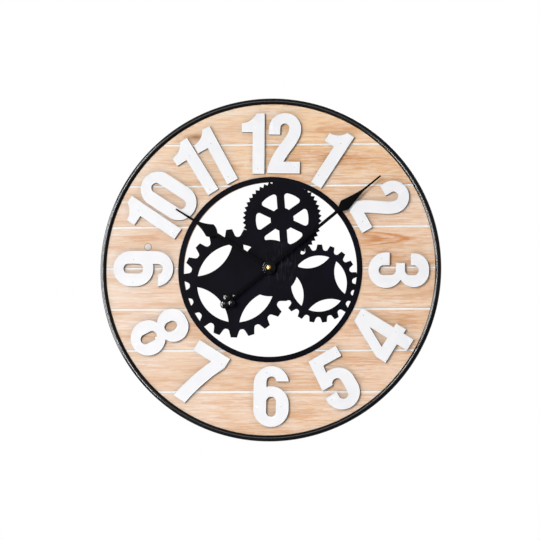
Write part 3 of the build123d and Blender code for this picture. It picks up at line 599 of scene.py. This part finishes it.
nodeFinish = {
    "plank_": "dialWood", "batten_": "plywood", "wall_pads": "padRubber", "hanger_plate": "zincPlate",
    "movement_case": "casePlastic", "movement_cover": "casePlastic", "hex_nut": "turnedBrass",
    "minute_arbor": "wheelPlastic", "minute_wheel": "wheelPlastic", "hour_wheel": "wheelPlastic",
    "setting_knob": "casePlastic", "battery_contacts": "zincPlate", "rim_hoop": "hoopEnamel",
    "gear_plate": "gearEnamel", "numerals": "numeralPaint", "hour_hand": "handEnamel",
    "minute_hand": "handEnamel", "cap_nut": "turnedBrass", "battery": "batteryWrap",
}
for nodeName, node in nodes.items():
    start = max((start for start in nodeFinish if nodeName.startswith(start)), key=len)
    node.data.materials.clear()
    node.data.materials.append(finishes[nodeFinish[start]])

# Hoop: round tube with its tabs, each held by a screw

hoop = dict(radius=0.2946, tube=0.0053, y=level(heights["hoopMiddle"]), segments=(240, 20),
            tabs=6, firstTurn=90, tabInner=0.262, tabWide=0.016, tabThick=0.002,
            tabBack=level(heights["tabBack"]), tabEdge=0.0006,
            legOut=0.292, legFront=level(17), legGap=0.0004, legEdge=0.0004)
screwHead = dict(sides=24, edgeShare=0.45, edgeSegments=3, slotLong=1.2, slotDeep=1.1, slotWide=0.28)
tabScrew = dict(radius=0.0035, depth=0.0016, at=0.269, turn=20, turnStep=37)


def addScrewHead(x, z, face, screw, turn):
    # a pan head on the wall side of a face, with a cross cut into it
    radius = screw["radius"]
    depth = screw["depth"]
    piece = addRound(x, z, face, radius, depth, depth * screwHead["edgeShare"], screwHead["sides"],
                     screwHead["edgeSegments"])
    for angle in (turn, turn + 90):
        bpy.ops.mesh.primitive_cube_add(size=1, location=(x, face + depth, z),
                                        rotation=(0, math.radians(angle), 0),
                                        scale=(radius * screwHead["slotLong"], depth * screwHead["slotDeep"],
                                               radius * screwHead["slotWide"]))
        cutter = bpy.context.object
        applyModifier(piece, "BOOLEAN", object=cutter, operation="DIFFERENCE", solver="EXACT")
        bpy.data.objects.remove(cutter)
    return piece


hoopParts = [addRing(0, hoop["y"], 0, hoop["radius"], hoop["tube"], hoop["segments"])]
tabTurns = [hoop["firstTurn"] + tab * 360 / hoop["tabs"] for tab in range(hoop["tabs"])]
halfWide = hoop["tabWide"] / 2
legInner = hoop["legOut"] - hoop["tabThick"] / 2
legOuter = hoop["legOut"] + hoop["tabThick"] / 2
for turn in tabTurns:
    flat = addBlock((-halfWide, hoop["tabBack"] - hoop["tabThick"], hoop["tabInner"]),
                    (halfWide, hoop["tabBack"], legOuter), hoop["tabEdge"])
    leg = addBlock((-halfWide, hoop["legFront"], legInner),
                   (halfWide, hoop["tabBack"] - hoop["legGap"], legOuter), hoop["legEdge"])
    for part in (flat, leg):
        part.rotation_euler = (0, math.radians(turn), 0)
        pick(part)
        hoopParts.append(fixPlace())
hoopPiece = settle(joined(hoopParts), "hoopTube", "hoopEnamel", "clock")
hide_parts("rim_hoop")
screws = []
for tab, turn in enumerate(tabTurns):
    x, z = around(tabScrew["at"], turn)
    slotTurn = tabScrew["turn"] + tabScrew["turnStep"] * tab
    screws.append(addScrewHead(x, z, hoop["tabBack"], tabScrew, slotTurn))
settle(joined(screws), "tabScrews", "zincPlate", "clock")
print("hoop made")

# Screws of the battens and the hanger, all driven from the wall side, in zigzag along a batten

battenScrew = dict(radius=0.0031, depth=0.0013, face=level(heights["battenBack"]), spread=0.009,
                   upright=0.19, firstRow=-0.1774, rowStep=0.072, rows=6, rowTurn=31, padsFrom=0.17,
                   padsShare=0.93, crossbar=0.2149, crossbarAt=(-0.08, -0.045, 0.045, 0.08),
                   crossbarTurn=40, crossbarTurnStep=23)
hangerScrew = dict(radius=0.003, depth=0.0013, face=level(heights["hangerBack"]), at=0.0215, z=0.2134,
                   turn=25)
screws = []
for side in (-1, 1):
    for row in range(battenScrew["rows"]):
        across = side * battenScrew["upright"] + battenScrew["spread"] * (-1) ** row
        rise = battenScrew["firstRow"] + row * battenScrew["rowStep"]
        if abs(rise) > battenScrew["padsFrom"]:
            rise *= battenScrew["padsShare"]   # clear of the wall pads
        turn = battenScrew["rowTurn"] * row
        screws.append(addScrewHead(across, rise, battenScrew["face"], battenScrew, turn))
    for number, across in enumerate(battenScrew["crossbarAt"]):
        rise = side * battenScrew["crossbar"] + battenScrew["spread"] * (-1) ** number
        turn = battenScrew["crossbarTurn"] + battenScrew["crossbarTurnStep"] * number
        screws.append(addScrewHead(across, rise, battenScrew["face"], battenScrew, turn))
    screws.append(addScrewHead(side * hangerScrew["at"], hangerScrew["z"], hangerScrew["face"], hangerScrew,
                               side * hangerScrew["turn"]))
settle(joined(screws), "battenScrews", "zincPlate", "clock")
print("screws made")

# Movement: a ridged grip on the setting knob, a raised ring round it, snap clips and ribs moulded on the case

movement = dict(left=-0.028, top=hub["z"] + 0.028, back=level(heights["coverBack"]), knobX=0.015281,
                knobZ=0.007418)
knobGrip = dict(radius=0.00445, back=2.7, front=4.3, ridges=26, ridge=0.0003, edge=0.0001, edgeAngle=50)
knobRing = dict(radius=0.0061, tube=0.0004, segments=(48, 10))
snapClip = dict(back=level(5), front=level(9.5), wide=0.005, thick=0.0007, sunk=0.0002, edge=0.0003,
                topMiddles=(-0.013, 0.013), sideLows=(0.002, 0.014))
caseRib = dict(x=-0.0165, long=0.012, first=0.0075, step=0.0022, count=5, wide=0.0008, sunk=0.0001,
               high=0.0004, edge=0.0002)


def addKnobGrip():
    # every second corner of the rim stands out as a ridge, with one point behind and one in front
    piece = addBlank(movement["knobX"], movement["knobZ"], level(knobGrip["front"]), knobGrip["radius"],
                     (knobGrip["front"] - knobGrip["back"]) * mm, knobGrip["ridges"] * 2)
    centre = Vector((movement["knobX"], 0, movement["knobZ"]))
    for number, point in enumerate(piece.data.vertices):
        corner = number // 2
        if corner % 2:
            spoke = Vector((point.co.x, 0, point.co.z)) - centre
            outer = centre + spoke * (1 + knobGrip["ridge"] / knobGrip["radius"])
            point.co.x, point.co.z = outer.x, outer.z
    easeEdges(piece, knobGrip["edge"], angle=knobGrip["edgeAngle"])
    return piece


settle(addKnobGrip(), "knobGrip", "casePlastic", "setting_knob_group")
mouldings = [addRing(movement["knobX"], movement["back"], movement["knobZ"], **knobRing)]
for sideLow in snapClip["sideLows"]:
    low = hub["z"] + sideLow
    mouldings.append(addBlock((movement["left"] - snapClip["thick"], snapClip["front"], low),
                              (movement["left"] + snapClip["sunk"], snapClip["back"], low + snapClip["wide"]),
                              snapClip["edge"]))
for middle in snapClip["topMiddles"]:
    low = middle - snapClip["wide"] / 2
    mouldings.append(addBlock((low, snapClip["front"], movement["top"] - snapClip["sunk"]),
                              (low + snapClip["wide"], snapClip["back"], movement["top"] + snapClip["thick"]),
                              snapClip["edge"]))
for rib in range(caseRib["count"]):
    rise = caseRib["first"] + rib * caseRib["step"]
    mouldings.append(addBlock((caseRib["x"] - caseRib["long"] / 2, movement["back"] - caseRib["sunk"], rise),
                              (caseRib["x"] + caseRib["long"] / 2, movement["back"] + caseRib["high"],
                               rise + caseRib["wide"]), caseRib["edge"]))
settle(joined(mouldings), "caseMouldings", "casePlastic", "clock")
print("movement details made")

# Merged copies of nodes with their edges eased, less where narrow slivers hold the bevel back

cutAngle = 35
edgeWork = {
    "gear_plate": dict(name="gearSheet", width=0.00035, finish="gearEnamel", slot="gear_metal"),
    "numerals": dict(name="raisedNumerals", width=0.0003, finish="numeralPaint", slot="white_numeral"),
    "hour_hand": dict(name="hourHand", width=0.0004, finish="handEnamel", body="hour_hand_group",
                      slot="hand_metal"),
    "minute_hand": dict(name="minuteHand", width=0.0004, finish="handEnamel", body="minute_hand_group",
                        slot="hand_metal"),
    "hex_nut": dict(name="bushingNut", width=0.0004, finish="turnedBrass", slot="brass"),
    "wall_pads": dict(name="wallPads", width=0.0008, segments=3, finish="padRubber", slot="pad_rubber"),
    "movement_cover": dict(name="movementCover", width=0.0005, finish="casePlastic", slot="case_plastic"),
    "battery": dict(name="batteryCell", width=0.00045, segments=3, finish="batteryWrap", body="battery_group",
                    slot="battery_wrap"),
}
for nodeName, work in edgeWork.items():
    piece = mergedCopy(nodeName)
    easeEdges(piece, work["width"], work.get("segments", 2), cutAngle)
    settle(piece, work["name"], work["finish"], work.get("body", "clock"))
    applyModifier(piece, "WEIGHTED_NORMAL", keep_sharp=True)
    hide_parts(nodeName)
    print(work["name"], len(piece.data.polygons))

# Brads: small heads on the numerals, hour by hour, as x and z in millimetres

bradHead = dict(radius=0.0008, depth=0.0003, face=level(heights["digitFront"] + 0.1), sides=12, edge=0.0001)
bradPlaces = {
    12: [(-26, 250), (-22, 176), (3, 247), (43, 178)], 1: [(124, 219), (85, 164)],
    2: [(232, 133), (163, 83), (181, 150)], 3: [(196, 18), (250, 18), (222, 6)],
    4: [(165, -81), (221, -110), (205, -160)], 5: [(81, -164), (110, -228), (118, -146)],
    6: [(-4, -180), (21, -239), (-20, -240)], 7: [(-84, -165), (-164, -215), (-128, -152)],
    8: [(-164, -104), (-199, -119), (-235, -131)], 9: [(-192, -18), (-241, -22), (-240, 18)],
    10: [(-218, 155), (-152, 113), (-232, 104), (-172, 65)],
    11: [(-143, 200), (-106, 140), (-105, 221), (-74, 162)],
}
brads = [addRound(x * mm, z * mm, bradHead["face"], bradHead["radius"], bradHead["depth"], bradHead["edge"],
                  bradHead["sides"])
         for places in bradPlaces.values() for x, z in places]
settle(joined(brads), "numeralBrads", "bradSteel", "clock")

# Knot plug: a ring with a pale filling, both a little proud of the boards

plug = dict(x=-0.216, z=0.0407, depth=0.0006,
            ring=dict(front=level(heights["boardFront"] + 0.2), radius=0.0068, edge=0.0001),
            filling=dict(front=level(heights["boardFront"] + 0.35), radius=0.0056, edge=0.00025))
plugRing = addRound(plug["x"], plug["z"], depth=plug["depth"], **plug["ring"])
settle(plugRing, "knotRing", "knotRing", "clock")
plugFilling = addRound(plug["x"], plug["z"], depth=plug["depth"], **plug["filling"])
settle(plugFilling, "knotPlug", "knotFiller", "clock")
print("brads and plug made")

# Minute hand: a stepped boss over its hub disc and domed lobes on its tail

handFront = level(heights["handFront"])
dome = dict(segments=32, rings=16, sunk=0.0004)
club = dict(turn=50.75, rise=0.0022, radiusShare=0.97,
            lobes=(dict(reach=0.0775, spread=0.0, radius=0.0038),
                   dict(reach=0.09, spread=0.0066, radius=0.0066),
                   dict(reach=0.09, spread=-0.0066, radius=0.0066),
                   dict(reach=0.101, spread=0.0, radius=0.0076)))
boss = dict(sides=48, steps=(dict(front=handFront - 0.0006, radius=0.0112, depth=0.0008, edge=0.00035),
                             dict(front=handFront - 0.0014, radius=0.0078, depth=0.0012, edge=0.0005)))


def addDome(x, z, face, radius, rise):
    # the front part of a flattened ball, cut off flat just behind the face
    bpy.ops.mesh.primitive_uv_sphere_add(segments=dome["segments"], ring_count=dome["rings"], radius=radius,
                                         location=(x, face, z), rotation=towardsViewer)
    piece = fixPlace()
    bpy.ops.object.mode_set(mode="EDIT")
    bpy.ops.mesh.select_all(action="SELECT")
    bpy.ops.transform.resize(value=(1, rise / radius, 1), center_override=(x, face, z))
    bpy.ops.mesh.bisect(plane_co=(x, face + dome["sunk"], z), plane_no=(0, 1, 0), clear_outer=True,
                        use_fill=True)
    bpy.ops.object.mode_set(mode="OBJECT")
    return piece


lobes = []
for lobe in club["lobes"]:
    backX, backZ = around(-lobe["reach"], club["turn"])
    sideX, sideZ = around(lobe["spread"], club["turn"] + 90)
    lobes.append(addDome(hub["x"] + backX + sideX, hub["z"] + backZ + sideZ, handFront,
                         lobe["radius"] * club["radiusShare"], club["rise"]))
settle(joined(lobes), "clubLobes", "lobeEnamel", "minute_hand_group")
bossParts = [addRound(hub["x"], hub["z"], sides=boss["sides"], **step) for step in boss["steps"]]
settle(joined(bossParts), "minuteBoss", "lobeEnamel", "minute_hand_group")

# Cap nut: turned brass with a domed crown

cap = dict(front=handFront - 0.0022, radius=0.0037, depth=0.0022, edge=0.0003, sides=40)
crown = dict(radiusShare=0.93, rise=0.0018, sunk=0.0001)
capParts = [addRound(hub["x"], hub["z"], **cap),
            addDome(hub["x"], hub["z"], cap["front"] + crown["sunk"], cap["radius"] * crown["radiusShare"],
                    crown["rise"])]
capPiece = settle(joined(capParts), "capNut", "turnedBrass", "minute_hand_group")
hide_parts("cap_nut")
print("hands made")

# Light, floor and camera; the edge lamps only draw the highlights along the hoop

lamps = {
    "keyLamp": dict(place=(-0.72, -3.3, 0.62), wide=0.9, power=50.5),
    "fillLamp": dict(place=(1.9, -2.6, -0.1), wide=2.0, power=6.0),
    "backLamp": dict(place=(0.6, 2.6, 1.6), wide=1.6, power=45.0),
    "edgeLamp0": dict(place=(-1.3, -1.85, 0.0), wide=0.18, tall=2.4, power=430.0),
    "edgeLamp1": dict(place=(-2.2, -0.5, 0.0), wide=0.7, tall=2.0, power=400.0),
}
studio = dict(aim=(-0.0004, 0, -0.0007), distance=9.0, yaw=8.0, pitch=-4.5, roll=0.35, lens=344.2, sensor=36,
              skyColour=(1, 1, 1, 1), skyLight=0.27, skySeen=1.0, floorZ=-0.9, floorSize=14,
              floorColour=(0.92, 0.92, 0.92, 1), floorRough=0.8)


def addLamp(name, place, wide, power, tall=None):
    bpy.ops.object.light_add(type="AREA", location=place)
    lamp = bpy.context.object
    lamp.name = name
    lamp.data.size = wide
    lamp.data.energy = power
    lamp.rotation_euler = (-Vector(place)).to_track_quat("-Z", "Y").to_euler()
    if tall:
        lamp.data.shape = "RECTANGLE"
        lamp.data.size_y = tall
        lamp.visible_diffuse = False


for lampName, values in lamps.items():
    addLamp(lampName, **values)

world = bpy.data.worlds.new("studioWorld")
bpy.context.scene.world = world
world.use_nodes = True
worldTree = world.node_tree
backdrop = worldTree.nodes["Background"]
rays = addNode(worldTree, "ShaderNodeLightPath").outputs
mirrored = calc(worldTree, "MAXIMUM", rays["Is Glossy Ray"], rays["Is Transmission Ray"])
seen = calc(worldTree, "MAXIMUM", rays["Is Camera Ray"], mirrored)
worldTree.links.new(ramp(worldTree, seen, 0.0, 1.0, studio["skyLight"], studio["skySeen"]),
                    backdrop.inputs["Strength"])
backdrop.inputs["Color"].default_value = studio["skyColour"]

bpy.ops.mesh.primitive_plane_add(size=studio["floorSize"], location=(0, 0, studio["floorZ"]))
floor = bpy.context.object
floor.name = "studioFloor"
floor.data.materials.append(newMaterial("studioFloor", Base_Color=studio["floorColour"],
                                        Roughness=studio["floorRough"])[0])

yaw = math.radians(studio["yaw"])
pitch = math.radians(studio["pitch"])
direction = Vector((math.sin(yaw) * math.cos(pitch), -math.cos(yaw) * math.cos(pitch), math.sin(pitch)))
bpy.ops.object.camera_add(location=Vector(studio["aim"]) + direction * studio["distance"])
camera = bpy.context.object
lookTurn = (-direction).to_track_quat("-Z", "Y") @ Quaternion((0, 0, 1), math.radians(studio["roll"]))
camera.rotation_euler = lookTurn.to_euler()
camera.data.lens = studio["lens"]
camera.data.sensor_width = studio["sensor"]
bpy.context.scene.camera = camera
bpy.context.scene.view_settings.view_transform = "Standard"
print("studio set")
